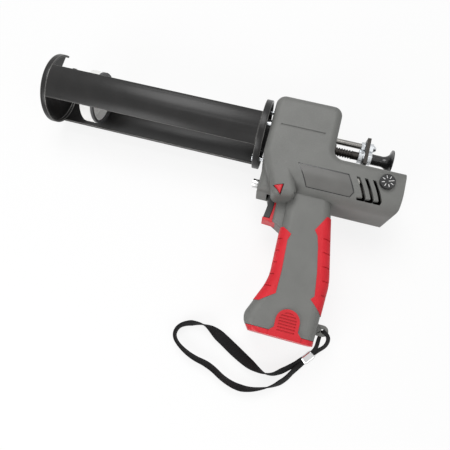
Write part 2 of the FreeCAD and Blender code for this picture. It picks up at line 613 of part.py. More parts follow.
def housing(name, side):
    """One moulded half: upper body, nose, handle and foot, hollow, split on the middle plane."""
    upper = rounded(layer(side, UPPER, "0", "barrel_radius"), "corner_round", upright)
    rounded(upper, "side_round", rim_of(side, "barrel_radius"))
    tail = rounded(layer(side, TAIL_END, "0", "barrel_radius + 1"), "tail_round", corner_at("tail_bottom"))
    upper = common(common(upper, belly("0")), tail)
    chin_half = "barrel_radius - chin_sink"
    chin = rounded(layer(side, CHIN, "0", chin_half), "chin_round", corner_at("chin_bottom", "chin_low"))
    rounded(chin, "chin_round", rim_of(side, chin_half))
    nose = rounded(layer(side, NOSE, "0", "nose_half_width"), "nose_round", rim_of(side, "nose_half_width"))
    cheek = layer(side, CHEEK, "0", "cheek_half_width")
    rounded(cheek, "cheek_round", rim_of(side, "cheek_half_width"))
    handle = cut(handle_form(side, "0"), below("foot_bottom"))
    inside = layer(side, UPPER_INSIDE, "0", "barrel_radius - shell_wall")
    rounded(inside, "corner_round - shell_wall", corner_at("body_top - shell_wall"))
    hollows = [
        common(inside, belly("shell_wall")),
        layer(side, CHIN_INSIDE, "0", "barrel_radius - shell_wall"),
        layer(side, NOSE_INSIDE, "0", "nose_half_width - shell_wall"),
        handle_form(side, "pad_thick + shell_wall"),
        layer(side, [
            ("trigger_front - 2", "trigger_top + free_clearance"),
            ("trigger_back + trigger_travel", "trigger_top + free_clearance"),
            ("trigger_back + trigger_travel", "trigger_low - free_clearance"),
            ("trigger_front - 2", "trigger_low - free_clearance"),
        ], "0", "trigger_half_width + free_clearance"),
    ]
    shell = cut(fuse(upper, chin, nose, cheek, handle), *hollows, *pockets[side])
    bosses = [boss(side, x, y) for x, y in SCREWS]
    groove = layer(side, [
        ("groove_front", "groove_y - groove_wide / 2"), ("groove_back", "groove_y - groove_wide / 2"),
        ("groove_back", "groove_y + groove_wide / 2"), ("groove_front", "groove_y + groove_wide / 2"),
    ], "barrel_radius - groove_depth", "barrel_radius + 1")
    tools = [*rod_holes("body_front - 1", "shell_wall + 2"),
             *rod_holes("body_back - shell_wall - 1", "shell_wall + 2"),
             *vents(side), groove, *[screw_hole(side, x, y) for x, y in SCREWS]]
    if side > 0:
        tools.append(label_layer("0 - label_depth", "label_depth"))
        tools.append(layer(side, safety_outline("2 * free_clearance"), "safety_depth", "barrel_radius + 1"))
        tools.append(cylinder("dial_stem + run_clearance", "shell_wall + 2", "dial_x", "dial_y",
                              f"{MIDDLE} + barrel_radius - shell_wall - 1", ALONG_Z))
    node(name, cut(fuse(shell, *bosses), *tools))


def safety_outline(spare):
    """The three-cornered safety button in side view, larger all round by about the spare."""
    return [
        (f"safety_x - 1.5 * ({spare})", "safety_y"),
        (f"safety_x + safety_long + {spare}", f"safety_y + safety_tall / 3 + {spare}"),
        (f"safety_x + safety_long - safety_lean + {spare}",
         f"safety_y - safety_tall * 2 / 3 - 1.5 * ({spare})"),
    ]


def boss(side, x, y):
    start, height = span(side, "0", "barrel_radius - shell_wall")
    return cylinder("boss_radius", height, x, y, start, ALONG_Z)


def screw_hole(side, x, y):
    """A screw's way in: head and shank from the right, shank only in the left half."""
    if side > 0:
        return cylinder("screw_radius", "screw_bite", x, y, MIDDLE, ALONG_Z)
    shank = cylinder("screw_radius", "barrel_radius + 1", x, y, "0 - 1", ALONG_Z)
    head = cylinder("screw_head + run_clearance", "screw_head_height + 1", x, y, "0 - 1", ALONG_Z)
    return fuse(shank, head)


def screws():
    items = []
    for x, y in SCREWS:
        head = cylinder("screw_head", "screw_head_height - screw_sink", x, y, "screw_sink", ALONG_Z)
        reach = f"{MIDDLE} + screw_bite - screw_head_height"
        shank = cylinder("screw_radius", reach, x, y, "screw_head_height", ALONG_Z)
        items.append(fuse(head, shank))
    node("housing_screws", group(*items))


def rib_bars(x, y, lean, step):
    """Cutters for the ribs of a pad, straight across the handle."""
    half = "(grip_half_width + pad_thick)"
    return [block(f"{x} + {index} * ({lean})", f"{y} - {index} * {step}", f"{MIDDLE} - {half}",
                  "rib_reach", "rib_wide", f"2 * {half}") for index in range(RIB_COUNT)]


def grips():
    """Soft ribbed pads let into the front and back of the handle, one of each on either half."""
    for side, word in ((1, "left"), (-1, "right")):
        skin = handle_form(side, "0 - pad_proud")
        rind = cut(skin, handle_form(side, "pad_thick"))
        rib_skin = cut(skin, handle_form(side, "rib_depth - pad_proud"))
        for name, corners, bars in (
            ("front_grip", FRONT_PAD, rib_bars("front_rib_x", "front_rib_y", "0", "front_rib_step")),
            ("back_grip", BACK_PAD, rib_bars("back_rib_x", "back_rib_y", "rib_lean", "back_rib_step")),
        ):
            pad = common(rind, layer(side, corners, "0", "grip_half_width + pad_thick"))
            pockets[side].append(pad)
            node(f"{name}_{word}", cut(pad, common(rib_skin, fuse(*bars))))


def trigger():
    """A red trigger with a hollowed black pad on its face."""
    face, middle = "trigger_front", "(trigger_top + trigger_low + trigger_lip) / 2"
    low = "trigger_low + trigger_lip"
    back = f"{face} + trigger_pad_thick"
    hollow = f"{back} + trigger_hollow"
    lip = f"{face} - trigger_lip_out"
    start, width = f"{MIDDLE} - trigger_half_width", "2 * trigger_half_width"
    pad = prism([(face, "trigger_top"), (f"{face} + trigger_hollow", middle), (face, low), (back, low),
                 (hollow, middle), (back, "trigger_top")], start, width)
    body = prism([(back, "trigger_top"), (hollow, middle), (back, low), (lip, low),
                  (lip, "trigger_low + trigger_lip_fall"), ("trigger_back", "trigger_low"),
                  ("trigger_back", "trigger_top")], start, width)
    node("trigger_pad", rounded(pad, "trigger_curve", corner_at(middle)))
    node("trigger", rounded(body, "trigger_curve", corner_at(middle)))
    switch_low = f"{CASE_TOP} + contact_height + switch_rise"
    node("trigger_switch", block("trigger_back + trigger_travel + switch_gap", switch_low,
                                 f"{MIDDLE} - ({GRIP_INNER})", "switch_length", "switch_height",
                                 f"2 * ({GRIP_INNER})"))


def controls():
    """The cross-bolt safety button, the speed dial, the lamp and the label plate."""
    top = f"{MIDDLE} + barrel_radius"
    button = prism(safety_outline("0"), f"{top} - safety_depth", "safety_depth + safety_stand")
    node("safety_button", button)
    cap = cylinder("dial_radius", "dial_height", "dial_x", "dial_y", f"{top} + free_clearance", ALONG_Z)
    stem_start = f"{top} + free_clearance - shell_wall"
    stem = cylinder("dial_stem", "shell_wall", "dial_x", "dial_y", stem_start, ALONG_Z)
    node("speed_dial", fuse(cap, stem))
    node("speed_control", block("dial_x - pot_side / 2", "dial_y - pot_side / 2",
                                f"{top} - shell_wall - pot_height", "pot_side", "pot_side", "pot_height"))
    node("rating_plate", label_layer("label_depth - label_thick", "label_depth"))
    front = "nose_front - lamp_length"
    bezel = cylinder("lamp_radius", "lamp_length", front, "lamp_y", MIDDLE)
    recess = cylinder("lamp_radius - lamp_lip", "lens_depth + 1", f"{front} - 1", "lamp_y", MIDDLE)
    node("lamp_bezel", cut(bezel, recess))
    node("lamp_lens", cylinder("lamp_radius - lamp_lip", "lens_thick", f"{front} + lens_depth - lens_thick",
                               "lamp_y", MIDDLE))


def latch_tab(side):
    """The arched latch tab on one side of the foot, with grip slots, and its bridge to the base."""
    gap, outer = "grip_half_width + free_clearance", "grip_half_width + free_clearance + tab_thick"
    low, top = "foot_bottom - base_thick", "foot_bottom - free_clearance"
    front, back = "arch_front - arch_foot", "arch_back + arch_foot"
    arch = layer(side, [
        (front, low), (back, low), (back, top), ("arch_back", f"{top} + arch_foot"),
        ("arch_back", "arch_top"), ("arch_front", "arch_top"), ("arch_front", f"{top} + arch_foot"),
        (front, top),
    ], gap, outer)
    rounded(arch, "arch_round", corner_at("arch_top"))
    first, last, high = "arch_front + grill_inset", "arch_back - grill_inset", "arch_top - grill_inset"
    window = layer(side, [(first, top), (last, top), (last, high), (first, high)],
                   f"{outer} - grill_depth", f"{outer} + 1")
    rounded(window, "arch_round - grill_inset", corner_at(high))
    start, height = span(side, f"{outer} - grill_depth", f"{outer} + 1")
    slots = [block(first, f"{high} - grill_wide - {index} * grill_step", start,
                   f"{last} - ({first})", "grill_wide", height) for index in range(GRILL_COUNT)]
    bridge = layer(side, [(front, low), (back, low), (back, top), (front, top)], "grip_half_width - 1", gap)
    return [cut(arch, common(fuse(*slots), window)), bridge]


def battery():
    """Slide-out pack: red base with a latch tab on each side, case, cells and contacts."""
    whole = fuse(handle_form(1, "0"), handle_form(-1, "0"))
    slab = block("toe_x", "foot_bottom - base_thick", "0",
                 "swell_x - toe_x", "base_thick - free_clearance", "2 * barrel_radius")
    node("battery_base", fuse(common(whole, slab), *latch_tab(1), *latch_tab(-1)))
    low = "foot_bottom - free_clearance"
    height = f"{CASE_TOP} - ({low})"
    case = block("case_front", low, f"{MIDDLE} - case_half_width", "case_back - case_front", height,
                 "2 * case_half_width")
    hollow = block("case_front + case_wall", f"{low} + case_wall", f"{MIDDLE} - case_half_width + case_wall",
                   "case_back - case_front - 2 * case_wall", f"{height} - 2 * case_wall",
                   "2 * (case_half_width - case_wall)")
    node("battery_case", cut(case, hollow))
    cells = []
    for column in ("case_front + case_wall + cell_radius", "case_back - case_wall - cell_radius"):
        for stack in (0, 1):
            start = f"{low} + case_wall + {stack} * (cell_length + cell_gap)"
            cells.append(cylinder("cell_radius", "cell_length", column, start, MIDDLE, ALONG_Y))
    node("battery_cells", group(*cells))
    wide = "case_back - case_front - 2 * guide_inset"
    node("contact_block", block("case_front + guide_inset", f"{CASE_TOP} + free_clearance",
                                f"{MIDDLE} - ({GRIP_INNER})", wide, "contact_height", f"2 * ({GRIP_INNER})"))
    for side, word in ((1, "left"), (-1, "right")):
        start, thick = span(side, "case_half_width + free_clearance", GRIP_INNER)
        node(f"battery_guide_{word}", block("case_front + guide_inset", "foot_bottom + shell_wall", start,
                                            wide, "guide_length", thick))


# Plan route of the wrist strap's loop, from one side of its ferrule round to the other.
STRAP_ROUTE = [
    (50.5, -202.5), (38, -213), (23, -221), (1, -216), (-22, -201), (-43, -194), (-58, -195), (-68.5, -202),
    (-71, -212), (-63.5, -220), (-49, -225.5), (-29, -230), (-5, -239), (18, -238), (36, -226), (46, -213.5),
    (53.5, -204.5),
]
TAIL_ROUTE = [(61, -178), (66, -183.5), (61.5, -191.5)]
ARC_SHARE = 0.45


def ribbon_path(route):
    """Straight runs joined by tangent arcs, each as large as its two runs allow."""
    points = [FreeCAD.Vector(x, y, 0) for x, y in route]
    edges = []
    start = points[0]
    for before, corner, after in zip(points, points[1:], points[2:]):
        back, ahead = before - corner, after - corner
        reach = ARC_SHARE * min(back.Length, ahead.Length)
        first = corner + back.normalize() * reach
        last = corner + ahead.normalize() * reach
        half = (math.pi - back.getAngle(ahead)) / 2
        radius = reach / math.tan(half)
        middle = corner + (back + ahead).normalize() * (radius / math.cos(half) - radius)
        edges.append(Part.makeLine(start, first))
        edges.append(Part.Arc(first, middle, last).toShape())
        start = last
    edges.append(Part.makeLine(start, points[-1]))
    return Part.Wire(edges)


def ribbon(route, height):
    """A strap on edge along its route, as wide as the given height."""
    path = ribbon_path(route)
    tangent = path.Edges[0].tangentAt(path.Edges[0].FirstParameter)
    across = FreeCAD.Vector(-tangent.y, tangent.x, 0) * (size("strap_thick") / 2)
    start = path.Edges[0].Vertexes[0].Point
    side = Part.makeLine(start - across, start + across)
    up = FreeCAD.Vector(0, 0, height)
    first, last = [vertex.Point for vertex in side.Vertexes]
    corners = [first, last, last + up, first + up]
    profile = Part.makePolygon(corners + corners[:1])
    return path.makePipeShell([profile], True, False)


def strap():
    """Wrist strap: a loop lying on the surface, a tail up to the lug and a crimped ferrule."""
    item = doc.addObject("Part::Feature", "strap")
    item.Shape = ribbon(STRAP_ROUTE, size("strap_width"))
    node("strap_loop", place(item, "0", "0", "0"))
    rise = size(f"{MIDDLE} + strap_width / 2")
    low, high = TAIL_ROUTE[-1][1] - 2, TAIL_ROUTE[0][1] + 1
    tall = size("strap_width")
    slab = [FreeCAD.Vector(0, low, 0), FreeCAD.Vector(0, high, rise - tall), FreeCAD.Vector(0, high, rise),
            FreeCAD.Vector(0, low, tall)]
    reach = 2 * max(x for x, y in TAIL_ROUTE)
    slab_solid = Part.Face(Part.makePolygon(slab + slab[:1])).extrude(FreeCAD.Vector(reach, 0, 0))
    item = doc.addObject("Part::Feature", "strap")
    item.Shape = ribbon(TAIL_ROUTE, rise).common(slab_solid)
    node("strap_tail", place(item, "0", "0", "0"))
    first = FreeCAD.Vector(*TAIL_ROUTE[-1], 0)
    last = (FreeCAD.Vector(*STRAP_ROUTE[0], 0) + FreeCAD.Vector(*STRAP_ROUTE[-1], 0)) / 2
    turn = math.degrees(math.atan2(last.y - first.y, last.x - first.x))
    box = doc.addObject("Part::Box", "ferrule")
    bind(box, Length="ferrule_length", Width="ferrule_wide", Height="strap_width")
    along = FreeCAD.Rotation(FreeCAD.Vector(0, 0, 1), turn)
    sideways = along.multVec(FreeCAD.Vector(0, -size("ferrule_wide") / 2, 0))
    seam = along.multVec(FreeCAD.Vector(size("free_clearance") * 2, 0, 0))
    box.Placement = FreeCAD.Placement(first + seam + sideways, along)
    node("strap_ferrule", box)
    lug()


def lug():
    """The round strap tab on the back of the foot."""
    start, width = f"{MIDDLE} - lug_half_width", "2 * lug_half_width"
    tab = cylinder("lug_radius", width, "lug_x", "lug_y", start, ALONG_Z)
    stem = block("heel_x - pad_thick", "lug_y - lug_radius", start,
                 "lug_x - heel_x + pad_thick", "2 * lug_radius", width)
    hole = cylinder("lug_hole", f"{width} + 2", "lug_x", "lug_y", f"{start} - 1", ALONG_Z)
    node("strap_lug", cut(fuse(tab, stem), hole, handle_form(1, "0"), handle_form(-1, "0")))


def check_and_write():
    """Refuse a failed or empty piece, then write each piece to its own file."""
    doc.recompute()
    for item in doc.Objects:
        if "Invalid" in item.State or "Error" in item.State:
            raise RuntimeError(f"{item.Label} failed: {item.State}")
    os.makedirs("parts", exist_ok=True)
    for item in nodes:
        shape = item.Shape
        if shape.isNull() or not shape.isValid() or not shape.Solids:
            raise RuntimeError(f"{item.Label} has no valid solid")
    for item in nodes:
        item.Shape.exportStep(f"parts/{item.Label}.step")
        print(f"{item.Label}: {len(item.Shape.Solids)} solids, {item.Shape.Volume:.0f} mm3")


cradle()
collar()
toothed_rod()
plunger()
crossbar()
drive()
grips()
housing("housing_left", 1)
housing("housing_right", -1)
screws()
trigger()
controls()
battery()
strap()
check_and_write()
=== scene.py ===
"""Looks of the cordless caulking tool: materials, wrist strap, small details, light and camera."""
import json
import math

import bpy
from mathutils import Matrix, Vector


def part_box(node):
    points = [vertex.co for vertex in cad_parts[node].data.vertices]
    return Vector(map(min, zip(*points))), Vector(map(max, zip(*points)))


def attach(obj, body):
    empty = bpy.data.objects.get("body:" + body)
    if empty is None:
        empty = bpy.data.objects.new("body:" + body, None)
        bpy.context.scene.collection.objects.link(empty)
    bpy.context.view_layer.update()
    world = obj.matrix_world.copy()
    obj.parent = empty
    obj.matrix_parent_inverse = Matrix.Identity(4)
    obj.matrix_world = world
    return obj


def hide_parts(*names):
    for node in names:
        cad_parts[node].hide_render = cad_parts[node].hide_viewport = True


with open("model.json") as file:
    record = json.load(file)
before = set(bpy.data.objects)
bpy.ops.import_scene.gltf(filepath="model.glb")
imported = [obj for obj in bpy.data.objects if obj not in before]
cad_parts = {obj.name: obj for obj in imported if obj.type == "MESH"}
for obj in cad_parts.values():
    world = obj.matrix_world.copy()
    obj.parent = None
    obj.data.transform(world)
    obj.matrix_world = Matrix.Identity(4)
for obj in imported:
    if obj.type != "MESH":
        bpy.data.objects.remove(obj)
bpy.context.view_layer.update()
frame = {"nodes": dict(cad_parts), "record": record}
NODES = frame["nodes"]
MM = 0.001
MICRON = 0.000001
MICRON_DIGITS = 6
UP = Vector((0, 0, 1))

# Camera, fitted to the round ends that the photograph shows.
CAMERA_PLACE = Vector((-0.0058, -0.2002, 0.4493))
CAMERA_FORWARD = Vector((-0.1014, 0.2341, -0.9669))
CAMERA_RIGHT = Vector((0.9649, 0.2596, -0.0384))
CAMERA_NEAREST = 0.01
FOCAL_PIXELS = 449.8
IMAGE_PIXELS = 450
SENSOR_MM = 36

# Floor and light: metres, watts, and shares of white. A lamp has a place, a size and a power.
FLOOR_REACH = 4.0
FLOOR_HEIGHT = -0.0002
FLOOR_COLOUR = (0.9, 0.9, 0.9, 1)
FLOOR_ROUGH = 0.9
FLOOR_SPECULAR = 0.1
FLOOR_LIFT = 0.84
WORLD_LIGHT = 0.26
LAMP_TARGET = Vector((-0.05, -0.07, 0.03))
LAMPS = {
    "key": (Vector((-0.25, 0.45, 1.15)), 0.8, 9.4),
    "fill": (Vector((0.7, -0.6, 0.9)), 0.9, 3),
    "low": (Vector((-0.4, -0.8, 0.45)), 0.6, 4),
}

# Wrist strap: from the lug's hole down to the ferrule, round the loop, and back up through the hole.
# Millimetres: x, y, height, tilt of the band from flat in radians, width.
STRAP_DOWN = [
    (60.2, -172.5, 34.6, 0.0, 3.0), (60.5, -172.8, 38.8, 0.0, 3.2), (64.0, -174.6, 39.3, 0.0, 3.6),
    (67.2, -178.5, 34.0, 0.3, 3.8), (67.6, -184.5, 21.0, 0.5, 3.8), (63.0, -190.0, 7.0, 0.4, 4.6),
    (56.5, -197.8, 4.6, 0.3, 5.6),
]
STRAP_LOOP = [
    (50.5, -202.5, 5.6, 1.0, 8.0), (38.5, -214.0, 6.0, 1.05, 10.5), (25.0, -223.5, 6.4, 1.5, 10.5),
    (9.0, -219.5, 5.6, 2.45, 11.0), (-9.0, -211.0, 3.4, 2.95, 11.0), (-28.0, -200.5, 3.6, 2.75, 11.0),
    (-44.0, -193.3, 6.2, 1.65, 10.5), (-58.0, -194.8, 6.0, 1.15, 10.5), (-69.5, -200.5, 6.2, 1.35, 10.5),
    (-72.0, -210.5, 6.4, 1.45, 10.5), (-64.5, -218.5, 6.4, 1.42, 10.5), (-49.0, -225.8, 6.2, 1.25, 10.5),
    (-31.0, -228.5, 6.0, 1.12, 10.5), (-13.0, -238.5, 6.0, 1.15, 10.5), (6.0, -241.5, 6.0, 1.08, 10.5),
    (27.0, -234.0, 6.4, 1.55, 10.5), (40.0, -223.5, 6.0, 2.05, 10.5), (47.0, -211.5, 5.2, 2.1, 8.5),
]
STRAP_UP = [
    (54.5, -201.5, 3.6, 2.6, 5.6), (60.0, -192.5, 4.6, 3.0, 4.6), (61.0, -187.0, 15.0, 3.1, 3.8),
    (59.6, -179.0, 27.0, 3.14, 3.6), (60.2, -173.4, 30.2, 3.14, 3.2), (60.2, -172.4, 34.2, 3.14, 3.0),
]
STRAP_ROUTE = STRAP_DOWN + STRAP_LOOP + STRAP_UP
ROUTE_STEPS = 12
STRAP_THICK = 1.3 * MM
MIDDLE_THICK_SHARE = 0.9

# Ticks of the speed dial: the pointer's turn in degrees, shares of the radius, and heights from the face.
TICK_COUNT = 8
POINTER_TURN = 20
TICK_START = 0.42
POINTER_START = 0.1
TICK_END = 0.8
TICK_HALF_WIDTH = 0.22 * MM
TICK_BOTTOM = -0.2 * MM
TICK_TOP = 0.1 * MM

# Line round the label: distances from the rim, and heights from the face.
# The rim is where the face meets a side, told apart by how far up their normals point.
LINE_OUTER = 0.1 * MM
LINE_INNER = 0.9 * MM
LINE_BOTTOM = -0.15 * MM
LINE_TOP = 0.15 * MM
FACE_LEAST_UP = 0.3
SIDE_MOST_UP = 0.2

# Faces of a closed bar of eight corners: bottom, top and the four sides.
BAR_FACES = ((3, 2, 1, 0), (4, 5, 6, 7), (0, 1, 5, 4), (1, 2, 6, 5), (2, 3, 7, 6), (3, 0, 4, 7))

# Texture scales are in grains per metre.
PATCH_SCALE = 60
PATCH_DETAIL = 4
GRAIN_DETAIL = 2
GRAIN_STRENGTH = 0.5
GLOSS_SPREAD = 0.07
SMOOTHEST = 0.02

# Specks of the moulded housing.
SPECK_PATCH_SCALE = 45
SPECK_SCALE = 2600
SPECK_NOISE_ROUGHNESS = 0.7
SPECK_FROM = 0.52
SPECK_FULL = 0.72
SPECK_SHARE = 0.55
SPECK_STRENGTH = 0.6
SPECK_DEPTH = 120
SPECK_GLOSS_SPREAD = 0.08

# Colours are linear. The depth of the grain is in microns.
GRAINED_LOOKS = {
    "black_steel": dict(dark=(0.008, 0.0077, 0.0076), light=(0.013, 0.0125, 0.0123),
                        rough=0.34, grain=1800, depth=40, specular=0.3),
    "collar_black": dict(dark=(0.012, 0.012, 0.012), light=(0.02, 0.02, 0.02),
                         rough=0.6, grain=1500, depth=50),
    # Edges of the worn pieces: bare metal where the paint is worn, and paler still as a painted highlight
    # along the edge.
    "worn_and_highlight_edge": dict(dark=(0.09, 0.088, 0.085), light=(0.16, 0.155, 0.15),
                      rough=0.3, grain=1200, depth=30, metal=0.6),
    "zinc": dict(dark=(0.5, 0.52, 0.54), light=(0.64, 0.66, 0.68),
                 rough=0.26, grain=900, depth=6, metal=1.0),
    "steel": dict(dark=(0.17, 0.165, 0.155), light=(0.25, 0.243, 0.23),
                  rough=0.26, grain=1200, depth=6, metal=1.0),
    "dark_steel": dict(dark=(0.022, 0.02, 0.018), light=(0.045, 0.04, 0.036),
                       rough=0.34, grain=1200, depth=30, metal=0.7),
    "cell_wrap": dict(dark=(0.02, 0.1, 0.2), light=(0.03, 0.13, 0.25),
                      rough=0.4, grain=700, depth=30),
    "bronze": dict(dark=(0.42, 0.28, 0.12), light=(0.55, 0.38, 0.18),
                   rough=0.4, grain=900, depth=30, metal=1.0),
    "white_plastic": dict(dark=(0.88, 0.88, 0.86), light=(0.93, 0.93, 0.92),
                          rough=0.42, grain=700, depth=40),
    "dark_grey_plastic": dict(dark=(0.045, 0.046, 0.048), light=(0.06, 0.06, 0.062),
                              rough=0.5, grain=900, depth=40),
    "label_grey": dict(dark=(0.1, 0.099, 0.094), light=(0.116, 0.115, 0.109),
                       rough=0.46, grain=900, depth=20),
    "black_plastic": dict(dark=(0.008, 0.008, 0.009), light=(0.014, 0.014, 0.015),
                          rough=0.22, grain=700, depth=30),
    "red_grip": dict(dark=(0.56, 0.014, 0.024), light=(0.66, 0.02, 0.032),
                     rough=0.6, grain=1700, depth=80, specular=0.3),
    "red_gloss": dict(dark=(0.52, 0.01, 0.018), light=(0.6, 0.015, 0.026),
                      rough=0.42, grain=700, depth=20, specular=0.35),
    "chrome": dict(dark=(0.6, 0.6, 0.6), light=(0.72, 0.72, 0.72),
                   rough=0.14, grain=500, depth=10, metal=1.0),
    "lens": dict(dark=(0.75, 0.75, 0.75), light=(0.85, 0.85, 0.86),
                 rough=0.08, grain=400, depth=10),
    "black_webbing": dict(dark=(0.006, 0.006, 0.0065), light=(0.014, 0.014, 0.0145),
                          rough=0.85, grain=2600, depth=200, specular=0.2),
}
SPECKLED_LOOKS = {
    "grey_housing": dict(dark=(0.118, 0.12, 0.113), light=(0.145, 0.147, 0.139),
                         speck=(0.25, 0.25, 0.24), rough=0.55),
}

# Pieces that look different from others of their slot. The drive motor is dark steel as painted shade, for
# the shade it lies in behind the vents.
OWN_LOOK = {
    "rating_plate": "label_grey", "strap_ferrule": "chrome", "drive_motor": "dark_steel",
    "plunger_ring": "dark_grey_plastic", "trigger_pad": "collar_black", "rod_bush_back": "dark_steel",
}

# Broken edges: width in millimetres. On the worn pieces the edges are painted paler: bare metal where the
# paint is off them, and a painted highlight along the edge.
SOFT_EDGES = {
    0.25: ("front_grip_left", "front_grip_right", "back_grip_left", "back_grip_right"),
    0.35: ("rod_nut", "rod_lock_nut", "guide_nut", "dome_nut"),
    0.4: ("lamp_bezel", "battery_base"),
    0.5: ("cradle_strip_left", "cradle_strip_right", "front_cap", "rear_flange", "crossbar", "speed_dial",
          "plunger_cup"),
    0.6: ("trigger", "trigger_pad"),
    0.8: ("strap_lug",),
    1.2: ("safety_button",),
    2.6: ("strap_ferrule",),
}
WORN_AND_HIGHLIGHT_PIECES = ("cradle_strip_left", "cradle_strip_right", "front_cap", "rear_flange")
EDGE_STEPS = 3
SHARP_ANGLE = math.radians(35)


def camera():
    """The photograph's camera."""
    data = bpy.data.cameras.new("camera")
    data.sensor_width = SENSOR_MM
    data.lens = SENSOR_MM * FOCAL_PIXELS / IMAGE_PIXELS
    data.clip_start = CAMERA_NEAREST
    item = bpy.data.objects.new("camera", data)
    forward = CAMERA_FORWARD.normalized()
    right = (CAMERA_RIGHT - forward * CAMERA_RIGHT.dot(forward)).normalized()
    up = right.cross(forward)
    turn = Matrix((right, up, -forward)).transposed()
    item.matrix_world = Matrix.Translation(CAMERA_PLACE) @ turn.to_4x4()
    bpy.context.collection.objects.link(item)
    bpy.context.scene.camera = item


def material(name):
    """A new node material, with its node tree and its shader."""
    item = bpy.data.materials.new(name)
    item.use_nodes = True
    shader = item.node_tree.nodes["Principled BSDF"]
    return item, item.node_tree, shader


def noise(tree, scale, detail, roughness=0.5):
    """Noise in the piece's own coordinates, which are metres, so that its grain has a real size."""
    place = tree.nodes.new("ShaderNodeTexCoord")
    texture = tree.nodes.new("ShaderNodeTexNoise")
    texture.inputs["Scale"].default_value = scale
    texture.inputs["Detail"].default_value = detail
    texture.inputs["Roughness"].default_value = roughness
    tree.links.new(place.outputs["Object"], texture.inputs["Vector"])
    return texture.outputs["Fac"]


def ramp(tree, source, low, high, start=0.3, end=0.7):
    """A ramp from one colour to another, driven by a source."""
    node = tree.nodes.new("ShaderNodeValToRGB")
    first, last = node.color_ramp.elements
    first.position = start
    last.position = end
    first.color = (*low, 1)
    last.color = (*high, 1)
    tree.links.new(source, node.inputs["Fac"])
    return node.outputs["Color"]


def grey(value):
    """A number as a colour."""
    return (value, value, value)


def bump(tree, shader, source, strength, depth):
    """Fine relief from a source, with its depth in microns."""
    node = tree.nodes.new("ShaderNodeBump")
    node.inputs["Strength"].default_value = strength
    node.inputs["Distance"].default_value = depth * MICRON
    tree.links.new(source, node.inputs["Height"])
    tree.links.new(node.outputs["Normal"], shader.inputs["Normal"])


def grained(name, dark, light, rough, grain, depth, metal=0.0, specular=0.5):
    """A surface with slow colour patches, a fine grain in its relief and uneven gloss."""
    item, tree, shader = material(name)
    slow = noise(tree, PATCH_SCALE, PATCH_DETAIL)
    fine = noise(tree, grain, GRAIN_DETAIL)
    gloss = ramp(tree, fine, grey(max(rough - GLOSS_SPREAD, SMOOTHEST)), grey(rough + GLOSS_SPREAD))
    tree.links.new(ramp(tree, slow, dark, light), shader.inputs["Base Color"])
    tree.links.new(gloss, shader.inputs["Roughness"])
    shader.inputs["Metallic"].default_value = metal
    shader.inputs["Specular IOR Level"].default_value = specular
    bump(tree, shader, fine, GRAIN_STRENGTH, depth)
    return item


def speckled(name, dark, light, speck, rough):
    """Matte moulded plastic with the fine pale specks of a spark-eroded mould."""
    item, tree, shader = material(name)
    slow = noise(tree, SPECK_PATCH_SCALE, PATCH_DETAIL)
    fine = noise(tree, SPECK_SCALE, GRAIN_DETAIL, SPECK_NOISE_ROUGHNESS)
    share = ramp(tree, fine, grey(0), grey(SPECK_SHARE), SPECK_FROM, SPECK_FULL)
    gloss = ramp(tree, fine, grey(rough - SPECK_GLOSS_SPREAD), grey(rough + SPECK_GLOSS_SPREAD))
    mix = tree.nodes.new("ShaderNodeMix")
    mix.data_type = "RGBA"
    mix.inputs["B"].default_value = (*speck, 1)
    tree.links.new(share, mix.inputs["Factor"])
    tree.links.new(ramp(tree, slow, dark, light), mix.inputs["A"])
    tree.links.new(mix.outputs["Result"], shader.inputs["Base Color"])
    tree.links.new(gloss, shader.inputs["Roughness"])
    bump(tree, shader, fine, SPECK_STRENGTH, SPECK_DEPTH)
    return item


MATERIALS = {name: grained(name, **look) for name, look in GRAINED_LOOKS.items()}
MATERIALS |= {name: speckled(name, **look) for name, look in SPECKLED_LOOKS.items()}


def dress_nodes():
    """Each CAD node takes the material of its slot, or its own."""
    for row in frame["record"]["subparts"]:
        mesh = NODES[row["node"]].data
        mesh.materials.clear()
        mesh.materials.append(MATERIALS[OWN_LOOK.get(row["node"], row["material_slot"])])


def soften(name, width):
    """Break a CAD node's sharp edges so that they catch the light; on the worn pieces the edges are bare
    metal where the paint is worn and paler still as a painted highlight.
    """
    node = NODES[name]
    weld = node.modifiers.new("joined_faces", "WELD")
    weld.merge_threshold = MICRON
    bevel = node.modifiers.new("soft_edges", "BEVEL")
    bevel.harden_normals = True
    bevel.width = width * MM
    bevel.segments = EDGE_STEPS
    bevel.limit_method = "ANGLE"
    bevel.angle_limit = SHARP_ANGLE
    if name in WORN_AND_HIGHLIGHT_PIECES:
        # Paler edge material: bare worn metal and a painted highlight along the edge.
        node.data.materials.append(MATERIALS["worn_and_highlight_edge"])
        bevel.material = len(node.data.materials) - 1


def soften_edges():
    """All the broken edges."""
    for width, names in SOFT_EDGES.items():
        for name in names:
            soften(name, width)


def seen(tree, share):
    """A share for rays from the camera, from glossy surfaces and through clear ones, and 0 for the rest."""
    ray = tree.nodes.new("ShaderNodeLightPath")
    source = ray.outputs["Is Camera Ray"]
    for kind in ("Is Glossy Ray", "Is Transmission Ray"):
        either = tree.nodes.new("ShaderNodeMath")
        either.operation = "MAXIMUM"
        tree.links.new(source, either.inputs[0])
        tree.links.new(ray.outputs[kind], either.inputs[1])
        source = either.outputs["Value"]
    scaled = tree.nodes.new("ShaderNodeMath")
    scaled.operation = "MULTIPLY"
    scaled.inputs[1].default_value = share
    tree.links.new(source, scaled.inputs[0])
    return scaled.outputs["Value"]


